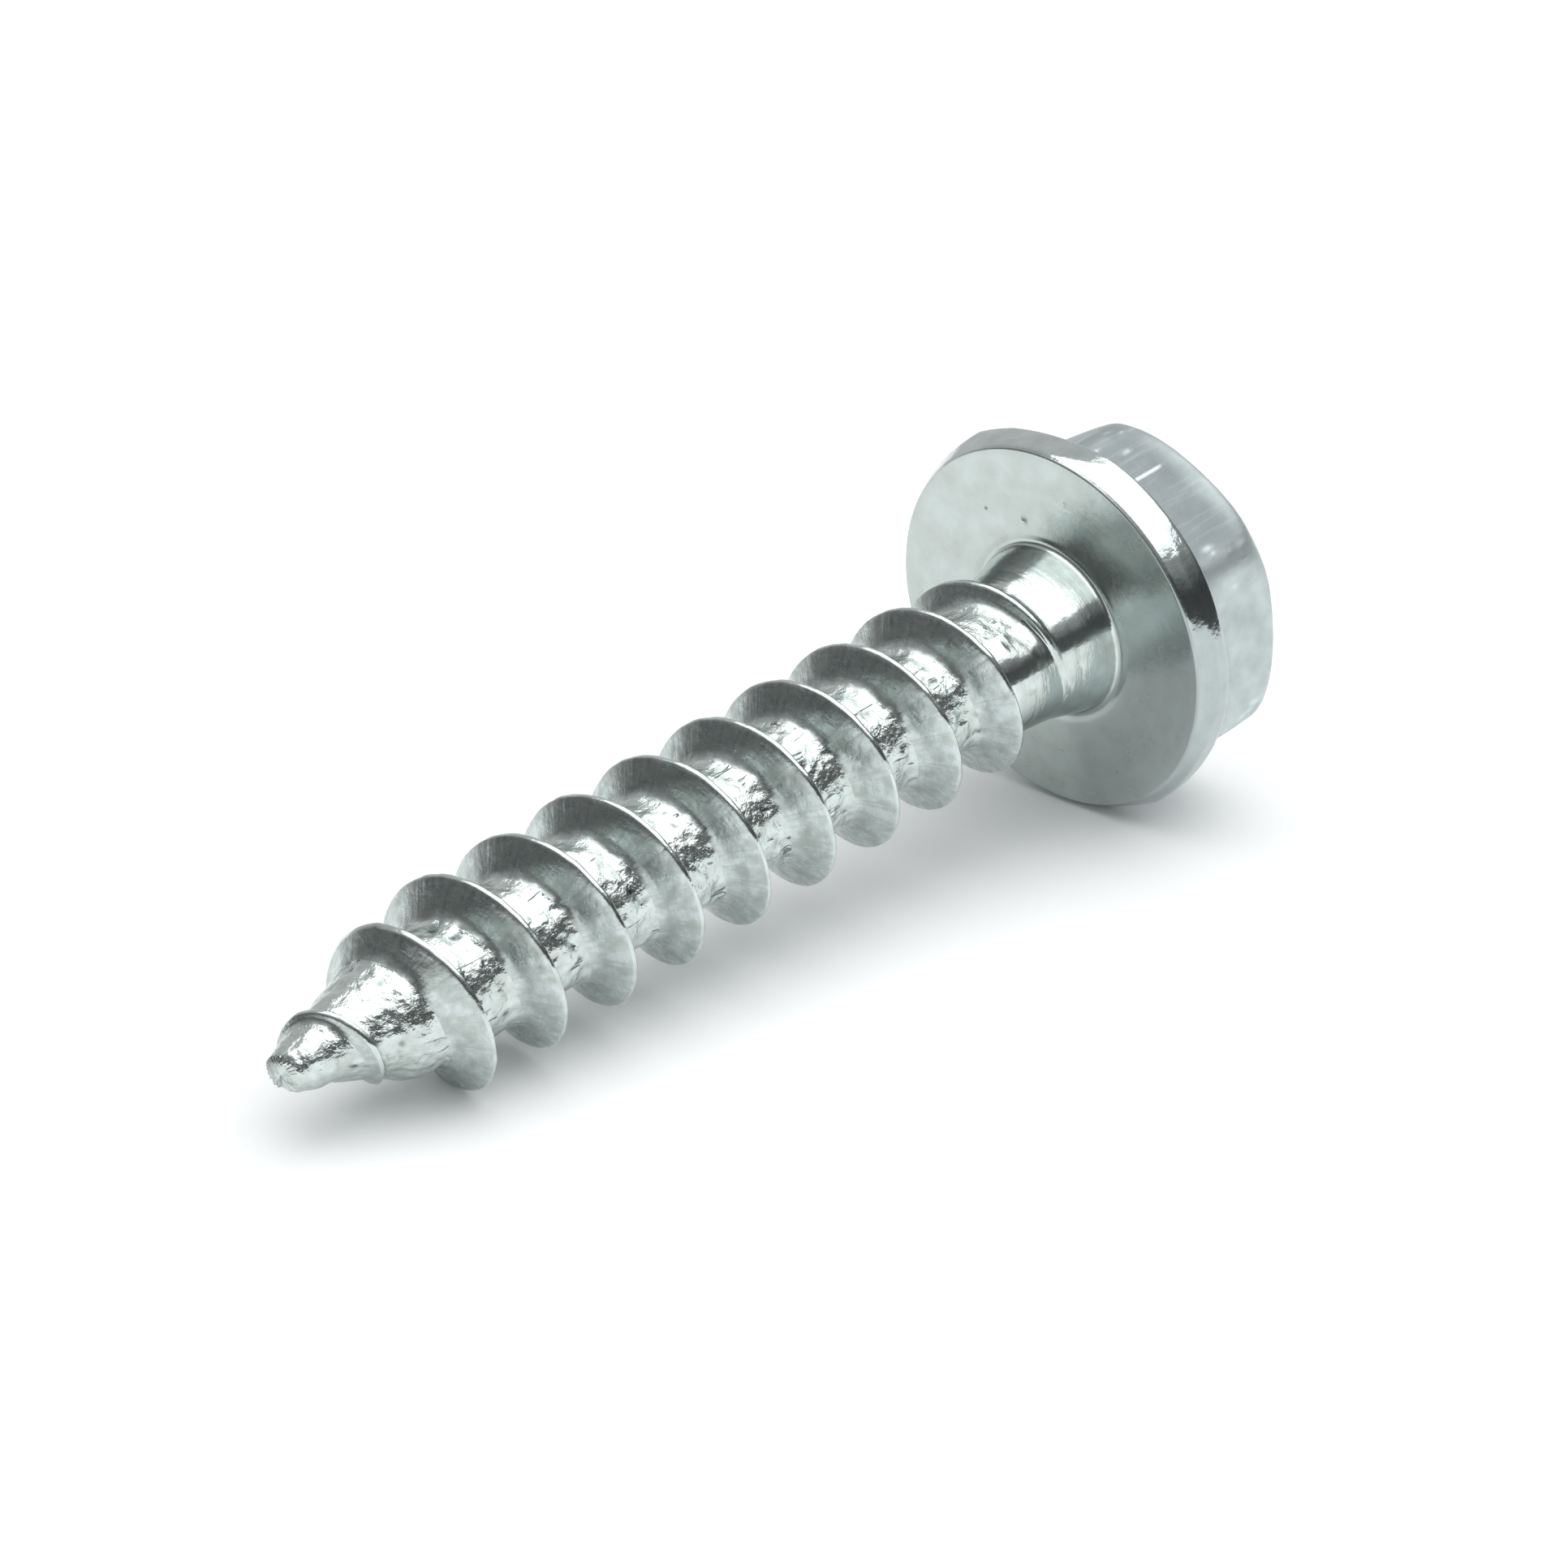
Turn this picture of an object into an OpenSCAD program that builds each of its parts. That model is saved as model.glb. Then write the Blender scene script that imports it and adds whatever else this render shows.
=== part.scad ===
// Hex flange self-tapping screw, cold formed in one piece, lying as it comes to rest.
// Sizes are in millimetres. Each shape is drawn with the bearing face at z = 0,
// the point towards +z and the head towards -z, and then laid down.

/* [Thread] */
// Diameter over the thread crests
thread_d = 4.64; // [4.2:0.02:5.4]
// Diameter of the core between the threads
core_d = 2.94; // [2.4:0.02:3.4]
// Advance of the thread in one turn
pitch = 2.117; // [1.6:0.001:2.6]
// Width of the flat on a crest
crest_w = 0.12; // [0.06:0.02:0.3]
// Angle between the two flanks of a thread
flank_angle = 48; // [30:1:70]
// Turn of the thread about the axis, from the upper hex corner
thread_turn = 9; // [-180:1:180]
// Distance from the bearing face to the start of the groove
thread_z = 1.6; // [1.4:0.1:4]
// Share of a turn in which the groove deepens and the crest rises
run_in = 0.55; // [0.2:0.05:1]

/* [Shank] */
// Length from the bearing face to the end of the point
length = 24.75; // [18:0.05:40]
// Angle of the cone that the crests follow at the point
crest_cone = 60; // [45:1:70]
// Angle of the cone that the core follows at the point
core_cone = 42; // [30:1:44]
// Diameter of the blunt end of the point
point_d = 0.45; // [0.1:0.05:0.8]
// Diameter of the plain neck under the head
neck_d = 3.7; // [3.5:0.05:4.1]
// Length of the plain neck
neck_l = 1.2; // [0.8:0.1:1.4]
// Radius of the fillet between the neck and the bearing face
neck_fillet = 0.5; // [0.2:0.05:0.7]
// Step from the neck down to the rolled shank
neck_step = 0.03; // [0.01:0.01:0.1]

/* [Flange] */
// Diameter over the widest places of the flange
flange_d = 9.9; // [9.4:0.1:13]
// How far the flange's edge draws in below each hex corner
flange_draw = 0.14; // [0.02:0.01:0.3]
// Height of the upright rim at those widest places
rim_h = 0.08; // [0.05:0.01:0.4]
// How far the bearing face ends inside the flange's widest line
edge_in = 0.3; // [0.1:0.01:0.6]
// Angle of the bevel at the bearing face's edge, from the axis
edge_angle = 25; // [15:1:40]
// Width of the chamfer on the flange's head side
rim_chamfer = 0.2; // [0.1:0.05:0.4]
// Slope of the flange's head side, rising to the land
flange_slope = 14; // [2:1:20]
// Width of the flat land outside the hexagon's corners
land_w = 0.06; // [0.04:0.01:0.2]

/* [Hexagon] */
// Size across the flats
hex_af = 7.8; // [6.5:0.05:8.1]
// Radius of the hexagon's corner edges
hex_round = 0.8; // [0.1:0.05:1]
// Height of the head, from the bearing face
head_h = 3.6; // [2.8:0.05:5]
// Height and width of the eased edge at the top of the head
head_ease = 1; // [0.3:0.05:1.3]
// Diameter of the shallow dish in the top
dish_d = 4.8; // [3:0.1:5.6]
// Depth of that dish
dish_depth = 0.35; // [0.1:0.05:0.6]

/* [Hidden] */
$fn = 96;
steel = [0.66, 0.69, 0.69];

// Flange outline: six wide arcs, one below each hex corner
sides = 6;
half_side = 180 / sides;
flange_r = flange_d / 2;
rest_r = flange_r - flange_draw;
arc_shift = (pow(flange_r, 2) - pow(rest_r, 2)) / (2 * (rest_r - flange_r * cos(half_side)));
arc_r = rest_r + arc_shift;
bearing_r = flange_r - edge_in;
edge_h = edge_in / tan(edge_angle);
rim_over = rim_h / (1 + 1 / tan(edge_angle));
flange_t = edge_h + rim_h + rim_chamfer;
edge_z = max(0, (rest_r - bearing_r) / tan(edge_angle));

// Hexagon and dish
hex_side_r = hex_af / 2;
corner_r = (hex_side_r - hex_round) / cos(half_side);
hex_reach = corner_r + hex_round;
dish_r = (pow(dish_d / 2, 2) + pow(dish_depth, 2)) / (2 * dish_depth);
bevel_turn = 22.5;
ease_over = 0.15;

// Corners of the bevels that ease the head's top edge, each as [radius, height]
ease = [
    for (turn = [bevel_turn:bevel_turn:90])
        [hex_reach - head_ease * (1 - cos(turn)), head_h - head_ease * (1 - sin(turn))]
];

// Thread
steps = 60;
corners = 4;
shank_r = neck_d / 2 - neck_step;
core_z = neck_l - pitch;
coil_z = core_z - pitch;
flank_slope = tan(flank_angle / 2);
last_step = ceil(steps * (length + pitch - coil_z) / pitch);

// Radius of a cone at the point, of a given angle
function cone_r(z, angle) = point_d / 2 + (length - z) * tan(angle / 2);

// How far the thread is formed at a height on the axis, from 0 to 1
function formed(z) = min(1, max(0, (z - thread_z) / (run_in * pitch)));

// Radius of the crest at a height, for a thread that is formed so far
function crest_r(z, share) =
    min(shank_r + (thread_d / 2 - shank_r) * share, cone_r(z, crest_cone));

// Radius of the groove's floor at a height, for a groove that is formed so far
function core_r(z, share) =
    min(shank_r + (core_d / 2 - shank_r) * share, cone_r(z, core_cone));

// Half the width of a ridge at its foot, on a side that falls by h
function foot(h) = crest_w / 2 + max(h, crest_w) * flank_slope;

// Section of the ridge at one step: foot, crest, crest, foot, each as [radius, z]
function section(g) =
    let (z = coil_z + pitch * g / steps, c = crest_w / 2)
    let (share = formed(z), share_before = formed(z - pitch))
    let (before = foot(crest_r(z, share) - core_r(z, share_before)))
    let (after = foot(crest_r(z, share) - core_r(z, share)))
    [
        [core_r(z - before, share_before), z - before],
        [crest_r(z - c, share), z - c],
        [crest_r(z + c, share), z + c],
        [core_r(z + after, share), z + after],
    ];

coil = [for (g = [0:last_step + steps]) section(g)];

// Angle about the axis at one step
function coil_angle(g) = thread_turn + 360 * (coil_z / pitch + g / steps);

// Number of a point of the coil: 0 before the core's start, 1 past the point's end
function point_no(g, j) =
    j == corners ? point_no(g + steps, 0)
    : coil[g][j][1] <= core_z ? 0
    : coil[g][j][1] >= length ? 1
    : 2 + corners * g + j;

// A triangle with three different points
function is_whole(t) = t[0] != t[1] && t[1] != t[2] && t[2] != t[0];

// The two triangles between one step and the next
function patch(g, j) =
    let (a = point_no(g, j), b = point_no(g, j + 1))
    let (c = point_no(g + 1, j + 1), d = point_no(g + 1, j))
    [for (t = [[a, b, c], [a, c, d]]) if (is_whole(t)) t];

// Lying pose: the tilt at which the flange's edge and a crest at a depth below the axis touch the floor
function tilt_at(depth, z) = atan2(rest_r - depth, z + edge_z);

rest_tilt = min([
    for (g = [0:last_step], j = [1, 2])
        if (coil[g][j][1] > thread_z && coil[g][j][1] < length)
            tilt_at(-coil[g][j][0] * cos(coil_angle(g)), coil[g][j][1])
]);
rest_z = rest_r * cos(rest_tilt) - edge_z * sin(rest_tilt);
reach_head = max([for (p = ease) p[0] * sin(rest_tilt) + p[1] * cos(rest_tilt)]);
reach_point = length * cos(rest_tilt) + point_d / 2 * sin(rest_tilt);
rest_x = (reach_point - reach_head) / 2;

// Flange outline of six wide arcs
module flange_outline() {
    intersection_for(side = [0:sides - 1])
        rotate(360 / sides * side)
            translate([-arc_shift, 0])
                circle(r = arc_r);
}

// Half section of the turning that bevels the flange's edge and slopes its head side up to a land
module flange_turning() {
    back_r = flange_r - rim_chamfer;
    land_r = min(hex_reach + land_w, back_r - land_w);
    land_z = -flange_t - (back_r - land_r) * tan(flange_slope);
    polygon([
        [0, 0],
        [bearing_r, 0],
        [flange_r + rim_over, rim_over - edge_h - rim_h],
        [back_r, -flange_t],
        [land_r, land_z],
        [0, land_z],
    ]);
}

// Flange
module flange() {
    intersection() {
        translate([0, 0, -head_h])
            linear_extrude(head_h + flange_t)
                flange_outline();
        rotate_extrude()
            flange_turning();
    }
}

// Hexagon outline with rounded corners
module hex_outline() {
    for (side = [0:sides - 1])
        rotate(360 / sides * side) {
            translate([corner_r, 0])
                circle(r = hex_round);
            rotate(half_side)
                translate([0, -corner_r / 2])
                    square([hex_side_r, corner_r]);
        }
    circle(r = corner_r, $fn = sides);
}

// Half section of the turning that eases the top of the hexagon
module head_turning() {
    over_r = hex_reach + ease_over;
    over_h = head_h - head_ease - ease_over / tan(bevel_turn / 2);
    polygon(concat([[0, head_h], [0, 0], [over_r, 0], [over_r, over_h]], ease));
}

// Hexagon with an eased top edge and a shallow dish
module hex_head() {
    mirror([0, 0, 1])
        difference() {
            intersection() {
                linear_extrude(head_h)
                    hex_outline();
                rotate_extrude()
                    head_turning();
            }
            translate([0, 0, head_h - dish_depth + dish_r])
                sphere(r = dish_r);
        }
}

// Plain neck with its fillet and shoulder
module neck() {
    rotate_extrude()
        difference() {
            polygon([
                [0, -flange_t / 2],
                [neck_d / 2 + neck_fillet, -flange_t / 2],
                [neck_d / 2 + neck_fillet, 0],
                [neck_d / 2, neck_fillet],
                [neck_d / 2, neck_l],
                [0, neck_l],
            ]);
            translate([neck_d / 2 + neck_fillet, neck_fillet])
                circle(r = neck_fillet);
        }
}

// Core, thread and point
module threaded_shank() {
    polyhedron(
        points = [
            [0, 0, core_z],
            [0, 0, length],
            for (g = [0:last_step + steps], p = coil[g])
                [p[0] * cos(coil_angle(g)), p[0] * sin(coil_angle(g)), p[1]],
        ],
        faces = [for (g = [0:last_step - 1], j = [0:corners - 1]) each patch(g, j)]
    );
}

// The whole screw, lying on the floor
module screw() {
    color(steel)
        translate([rest_x, 0, rest_z])
            rotate([0, -90 - rest_tilt, 0]) {
                flange();
                hex_head();
                neck();
                threaded_shank();
            }
}

screw();
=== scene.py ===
"""Looks of a hex flange self-tapping screw of bright zinc-plated steel, lying on a pale floor."""

import logging
import math
from dataclasses import dataclass
from enum import Enum
from typing import Any, Dict, List, Optional, Sequence, Tuple

import bpy
import numpy as np
from mathutils import Matrix, Vector


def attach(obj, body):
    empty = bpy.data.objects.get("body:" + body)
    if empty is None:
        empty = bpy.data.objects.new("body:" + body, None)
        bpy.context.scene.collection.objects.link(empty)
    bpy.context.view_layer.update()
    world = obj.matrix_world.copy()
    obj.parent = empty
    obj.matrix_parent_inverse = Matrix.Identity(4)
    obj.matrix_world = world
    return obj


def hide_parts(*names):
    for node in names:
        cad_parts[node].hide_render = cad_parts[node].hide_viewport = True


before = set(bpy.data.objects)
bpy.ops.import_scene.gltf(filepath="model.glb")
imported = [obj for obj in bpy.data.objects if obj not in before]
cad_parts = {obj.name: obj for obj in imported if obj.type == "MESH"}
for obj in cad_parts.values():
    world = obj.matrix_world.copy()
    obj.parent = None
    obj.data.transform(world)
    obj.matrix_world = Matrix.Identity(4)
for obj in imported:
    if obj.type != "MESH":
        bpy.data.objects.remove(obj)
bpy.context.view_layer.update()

LOG = logging.getLogger("screw")
MM = 0.001
NODE = "screw"
BODY = "root"
TINY = 1e-9
Colour = Tuple[float, float, float]


class Streak(Enum):
    """Which way the fine lines of a finish run."""

    RING = "round the axis"
    COIL = "along the thread"
    RADIAL = "out from the axis"
    AXIAL = "along the axis"


class NodeBench:
    """Adds and joins the nodes of one material or world."""

    NOISE_ROUGH = 0.55
    COLOUR_INPUTS = (6, 7)
    COLOUR_OUTPUT = 2

    def __init__(self, tree: bpy.types.NodeTree) -> None:
        """Clears the tree.

        Args:
            tree: The node tree to fill.
        """
        self.tree = tree
        self.tree.nodes.clear()

    def add(self, kind: str, values: Optional[Dict[str, Any]] = None, **settings: Any) -> bpy.types.Node:
        """Adds one node.

        Args:
            kind: The node's Blender type name.
            values: Values of its input sockets, by name.
            settings: Values of its own properties.

        Returns:
            The new node.
        """
        node = self.tree.nodes.new(kind)
        for name, value in settings.items():
            setattr(node, name, value)
        for name, value in (values or {}).items():
            node.inputs[name].default_value = value
        return node

    def join(self, source: bpy.types.NodeSocket, target: bpy.types.NodeSocket) -> None:
        """Links one socket to another."""
        self.tree.links.new(source, target)

    def math(self, operation: str, first: bpy.types.NodeSocket, second: Any = 0.0) -> bpy.types.NodeSocket:
        """Adds a math node.

        Args:
            operation: The operation's Blender name.
            first: The first value.
            second: The second value, a number or a socket.

        Returns:
            The result's socket.
        """
        node = self.add("ShaderNodeMath", operation=operation)
        self.join(first, node.inputs[0])
        if isinstance(second, bpy.types.NodeSocket):
            self.join(second, node.inputs[1])
        else:
            node.inputs[1].default_value = second
        return node.outputs[0]

    def noise(self, vector: bpy.types.NodeSocket, cell: float, detail: float = 3.0) -> bpy.types.NodeSocket:
        """Adds a noise texture.

        Args:
            vector: Where it is sampled.
            cell: Size of its largest cells, in the vector's units.
            detail: How many finer layers are added.

        Returns:
            The socket of its value, from 0 to 1.
        """
        values = {"Scale": 1.0 / cell, "Detail": detail, "Roughness": self.NOISE_ROUGH}
        node = self.add("ShaderNodeTexNoise", values)
        self.join(vector, node.inputs["Vector"])
        return node.outputs["Fac"]

    def spread(self, value: bpy.types.NodeSocket, span: Tuple[float, float], into: Tuple[float, float]
               ) -> bpy.types.NodeSocket:
        """Maps a value from one range to another, held at its ends.

        Args:
            value: The value.
            span: The range that it is taken from.
            into: The range that it is mapped to.

        Returns:
            The mapped value's socket.
        """
        limits = {"From Min": span[0], "From Max": span[1], "To Min": into[0], "To Max": into[1]}
        node = self.add("ShaderNodeMapRange", limits)
        self.join(value, node.inputs["Value"])
        return node.outputs["Result"]

    def bump(self, height: bpy.types.NodeSocket, reach: float, under: Optional[bpy.types.NodeSocket]
             ) -> bpy.types.NodeSocket:
        """Adds a bump.

        Args:
            height: The height's socket, from 0 to 1.
            reach: Height in millimetres that 1 stands for.
            under: The normal that the bump is added to.

        Returns:
            The normal's socket.
        """
        node = self.add("ShaderNodeBump", {"Strength": 1.0, "Distance": reach * MM})
        self.join(height, node.inputs["Height"])
        if under is not None:
            self.join(under, node.inputs["Normal"])
        return node.outputs[0]

    def tint(self, share: bpy.types.NodeSocket, first: Any, second: Any) -> bpy.types.NodeSocket:
        """Mixes two colours.

        Args:
            share: Share of the second colour.
            first: The first colour, three numbers or a socket.
            second: The second colour, three numbers or a socket.

        Returns:
            The mixed colour's socket.
        """
        node = self.add("ShaderNodeMix", data_type="RGBA")
        self.join(share, node.inputs[0])
        for place, colour in zip(self.COLOUR_INPUTS, (first, second)):
            if isinstance(colour, bpy.types.NodeSocket):
                self.join(colour, node.inputs[place])
            else:
                node.inputs[place].default_value = (*colour, 1.0)
        return node.outputs[self.COLOUR_OUTPUT]


def start_material(name: str) -> Tuple[bpy.types.Material, NodeBench, bpy.types.NodeSocket]:
    """Starts a node material.

    Args:
        name: The material's name.

    Returns:
        The material, its nodes and the socket that takes its surface.
    """
    made = bpy.data.materials.new(name)
    made.use_nodes = True
    bench = NodeBench(made.node_tree)
    return made, bench, bench.add("ShaderNodeOutputMaterial").inputs["Surface"]


def link_object(name: str, data: bpy.types.ID) -> bpy.types.Object:
    """Puts a mesh, a lamp or a camera into the scene.

    Args:
        name: The object's name.
        data: What it shows.

    Returns:
        The object.
    """
    piece = bpy.data.objects.new(name, data)
    bpy.context.scene.collection.objects.link(piece)
    return piece


@dataclass(frozen=True)
class Lines:
    """Fine lines that a die or a roller left, with lengths in millimetres."""

    way: Streak
    cell: float
    height: float
    tint: float = 0.3

    COIL_DRAW = 0.05
    AXIAL_DRAW = 0.08
    RADIAL_DRAW = 0.1
    RADIAL_SPREAD = 2.0
    RING_DRAW = 0.12

    def vector(self, bench: NodeBench, place: bpy.types.NodeSocket) -> bpy.types.NodeSocket:
        """Makes the coordinates in which the lines are drawn.

        Args:
            bench: The material's nodes.
            place: Place on the screw in millimetres.

        Returns:
            The coordinates' socket.
        """
        join = bench.add("ShaderNodeCombineXYZ")
        parts = bench.add("ShaderNodeSeparateXYZ")
        if self.way is Streak.COIL:
            coil = bench.add("ShaderNodeAttribute", attribute_name="coil")
            bench.join(coil.outputs["Vector"], parts.inputs[0])
            bench.join(bench.math("MULTIPLY", parts.outputs["X"], self.COIL_DRAW), join.inputs["X"])
            bench.join(parts.outputs["Y"], join.inputs["Y"])
            return join.outputs[0]
        bench.join(place, parts.inputs[0])
        x, y, z = (parts.outputs[axis] for axis in "XYZ")
        squares = [bench.math("POWER", axis, 2.0) for axis in (x, y)]
        radius = bench.math("SQRT", bench.math("ADD", *squares))
        if self.way is Streak.AXIAL:
            bench.join(x, join.inputs["X"])
            bench.join(y, join.inputs["Y"])
            bench.join(bench.math("MULTIPLY", z, self.AXIAL_DRAW), join.inputs["Z"])
        elif self.way is Streak.RADIAL:
            for name, axis in (("X", x), ("Y", y)):
                way = bench.math("DIVIDE", axis, radius)
                bench.join(bench.math("MULTIPLY", way, self.RADIAL_SPREAD), join.inputs[name])
            bench.join(bench.math("MULTIPLY", radius, self.RADIAL_DRAW), join.inputs["Z"])
        else:
            turn = bench.math("ABSOLUTE", bench.math("ARCTAN2", y, x))
            bench.join(radius, join.inputs["X"])
            bench.join(bench.math("MULTIPLY", turn, self.RING_DRAW), join.inputs["Y"])
            bench.join(z, join.inputs["Z"])
        return join.outputs[0]


@dataclass(frozen=True)
class ZincFinish:
    """Bright zinc plate over the surface that one forming step left, with painted shade in hollows, laps
    and on some head faces and a painted highlight, with lengths in millimetres.
    """

    name: str
    rough: Tuple[float, float]
    lines: Tuple[Lines, ...]
    grain: Tuple[Tuple[float, float], ...]
    patch_cell: float = 0.5
    bright: Colour = (0.685, 0.765, 0.757)
    dull: Colour = (0.56, 0.605, 0.575)
    # Dark colour painted as shade into the low parts of the relief, the pits and the laps.
    hollow_shade: Colour = (0.125, 0.15, 0.155)
    # Bright colour of worn nicks, also painted along the highlight line as a painted highlight.
    rubbed_and_highlight: Colour = (0.83, 0.88, 0.875)
    # Colour that the painted shade on the head's faces darkens towards.
    painted_shade_colour: Colour = (0.295, 0.33, 0.34)
    polished: float = 0.14
    laps: float = 0.0

    PATCHES = (0.36, 0.66)
    PATCH_DETAIL = 4.0
    LINE_SPAN = (0.5, 0.72)
    LINE_DETAIL = 2.0
    HOLLOWS = (-0.4, -1.0)
    HOLLOW_SHARE = 0.92
    FINE_SHARE = 0.5
    ROUGH_SPAN = (0.45, 1.05)
    LEAST_ROUGH = 0.05
    LAP_CELL = 0.42
    LAP_EDGE = (0.004, 0.016)
    LAP_PLACE_CELL = 0.6
    LAP_PLACES = (0.56, 0.62)
    LAP_END = (21.0, 22.0)
    LAP_SHADE = 0.9
    LAP_DEPTH = 0.02

    def lap_share(self, bench: NodeBench, place: bpy.types.NodeSocket) -> bpy.types.NodeSocket:
        """Draws short laps, where the rolled metal folded over, along the axis; the finish paints them dark
        as shade in the folds.

        Args:
            bench: The material's nodes.
            place: Place on the screw in millimetres.

        Returns:
            The socket of the laps' share, from 0 to 1.
        """
        drawn = Lines(Streak.AXIAL, self.LAP_CELL, self.LAP_DEPTH)
        along = bench.noise(drawn.vector(bench, place), drawn.cell, self.LINE_DETAIL)
        middle = bench.math("ABSOLUTE", bench.math("SUBTRACT", along, 0.5))
        line = bench.spread(middle, self.LAP_EDGE, (1.0, 0.0))
        some = bench.spread(bench.noise(place, self.LAP_PLACE_CELL, 1.0), self.LAP_PLACES, (0.0, self.laps))
        parts = bench.add("ShaderNodeSeparateXYZ")
        bench.join(place, parts.inputs[0])
        shank = bench.spread(parts.outputs["Z"], self.LAP_END, (1.0, 0.0))
        return bench.math("MULTIPLY", bench.math("MULTIPLY", line, some), shank)

    def material(self) -> bpy.types.Material:
        """Builds the finish.

        Returns:
            The material.
        """
        made, bench, surface = start_material(self.name)
        skin = bench.add("ShaderNodeBsdfPrincipled", {"Metallic": 1.0})
        bench.join(skin.outputs[0], surface)
        place = bench.add("ShaderNodeAttribute", attribute_name="place").outputs["Vector"]
        relief, wear_and_highlight, painted_shade = (
            bench.add("ShaderNodeAttribute", attribute_name=mark).outputs["Fac"]
            for mark in ("relief", "wear_and_highlight", "painted_shade"))

        patch = bench.noise(place, self.patch_cell, self.PATCH_DETAIL)
        colour = bench.tint(bench.spread(patch, self.PATCHES, (0.0, 1.0)), self.bright, self.dull)
        # Painted shade: the hex faces, each by its own amount, and one side of the bearing face and rim are
        # darkened towards this colour.
        colour = bench.tint(painted_shade, colour, self.painted_shade_colour)
        normal: Optional[bpy.types.NodeSocket] = None
        for line in self.lines:
            drawn = bench.noise(line.vector(bench, place), line.cell, self.LINE_DETAIL)
            colour = bench.tint(bench.spread(drawn, self.LINE_SPAN, (0.0, line.tint)), colour, self.dull)
            normal = bench.bump(drawn, line.height, normal)
        for cell, height in self.grain:
            fine = bench.noise(place, cell)
            normal = bench.bump(fine, height, normal)
        if self.laps:
            lap = self.lap_share(bench, place)
            # Painted shade along the laps' folds.
            colour = bench.tint(bench.math("MULTIPLY", lap, self.LAP_SHADE), colour, self.hollow_shade)
            normal = bench.bump(bench.math("SUBTRACT", lap, 1.0), -self.LAP_DEPTH, normal)
        # Painted shade: the low parts of the relief mark and the pits are darkened towards the dark shade
        # colour.
        sunk = bench.spread(relief, self.HOLLOWS, (0.0, self.HOLLOW_SHARE))
        colour = bench.tint(sunk, colour, self.hollow_shade)
        # Brightens worn nicks and paints the highlight line bright.
        colour = bench.tint(wear_and_highlight, colour, self.rubbed_and_highlight)
        bench.join(colour, skin.inputs["Base Color"])
        bench.join(normal, skin.inputs["Normal"])

        mixed = bench.math("ADD", patch, bench.math("MULTIPLY", fine, self.FINE_SHARE))
        rough = bench.spread(mixed, self.ROUGH_SPAN, self.rough)
        smoothed = bench.math("MULTIPLY", wear_and_highlight, self.polished - self.rough[0])
        rough = bench.math("MAXIMUM", bench.math("ADD", rough, smoothed), self.LEAST_ROUGH)
        bench.join(rough, skin.inputs["Roughness"])
        return made


class Finish(Enum):
    """The finishes on the screw, one for each forming step."""

    ROOT = ZincFinish(
        "zinc_thread_root", (0.08, 0.3), (Lines(Streak.AXIAL, 0.24, 0.002, 0.25),),
        ((0.3, 0.042), (0.11, 0.018)), 0.28, laps=1.0)
    FLANK = ZincFinish(
        "zinc_thread_flank", (0.21, 0.36),
        (Lines(Streak.RADIAL, 0.13, 0.006, 0.7), Lines(Streak.COIL, 0.12, 0.002, 0.3)),
        ((0.14, 0.008),), 0.36, bright=(0.65, 0.725, 0.72), dull=(0.45, 0.495, 0.472))
    CREST = ZincFinish(
        "zinc_thread_crest", (0.1, 0.22), (Lines(Streak.COIL, 0.05, 0.002),), ((0.12, 0.006),), 0.4)
    NECK = ZincFinish(
        "zinc_neck", (0.1, 0.2), (Lines(Streak.RING, 0.12, 0.004),), ((0.15, 0.004),), 0.6)
    BEARING = ZincFinish(
        "zinc_bearing_face", (0.2, 0.3), (Lines(Streak.RING, 0.2, 0.004, 0.4),), ((0.16, 0.003),), 0.9,
        bright=(0.575, 0.645, 0.632), dull=(0.51, 0.55, 0.525))
    RIM = ZincFinish(
        "zinc_flange_rim", (0.06, 0.16), (Lines(Streak.RING, 0.2, 0.002),),
        ((0.3, 0.008), (0.1, 0.002)), 0.6,
        bright=(0.64, 0.71, 0.7), dull=(0.53, 0.59, 0.585))
    BACK = ZincFinish(
        "zinc_flange_back", (0.24, 0.4), (Lines(Streak.RING, 0.14, 0.004),), ((0.14, 0.005),), 0.7)
    HEX = ZincFinish(
        "zinc_hexagon", (0.5, 0.64), (Lines(Streak.AXIAL, 0.14, 0.004, 0.25),),
        ((0.3, 0.01), (0.08, 0.003)), 0.8,
        bright=(0.66, 0.73, 0.725), dull=(0.56, 0.62, 0.62))
    TOP = ZincFinish(
        "zinc_head_top", (0.2, 0.32), (Lines(Streak.RING, 0.3, 0.004),), ((0.16, 0.004),), 0.8,
        bright=(0.655, 0.73, 0.72), dull=(0.59, 0.645, 0.625))


class Grain:
    """Smooth random relief, the same at every run."""

    SIDE = 64

    def __init__(self, seed: int) -> None:
        """Draws the lattice.

        Args:
            seed: Number that fixes the draw.
        """
        self.lattice = np.random.default_rng(seed).uniform(-1.0, 1.0, (self.SIDE,) * 3)

    def at(self, points: np.ndarray, cell: float) -> np.ndarray:
        """Samples the relief.

        Args:
            points: Places in millimetres, with the coordinates last.
            cell: Size of a cell in millimetres.

        Returns:
            Values from -1 to 1.
        """
        low = np.floor(points / cell)
        part = points / cell - low
        part = part * part * part * (part * (part * 6 - 15) + 10)
        index = low.astype(int)
        total = np.zeros(points.shape[:-1])
        for corner in range(8):
            step = np.array([corner & 1, corner >> 1 & 1, corner >> 2 & 1])
            share = np.where(step, part, 1 - part).prod(axis=-1)
            total += share * self.lattice[tuple(np.moveaxis((index + step) % self.SIDE, -1, 0))]
        return total


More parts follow.
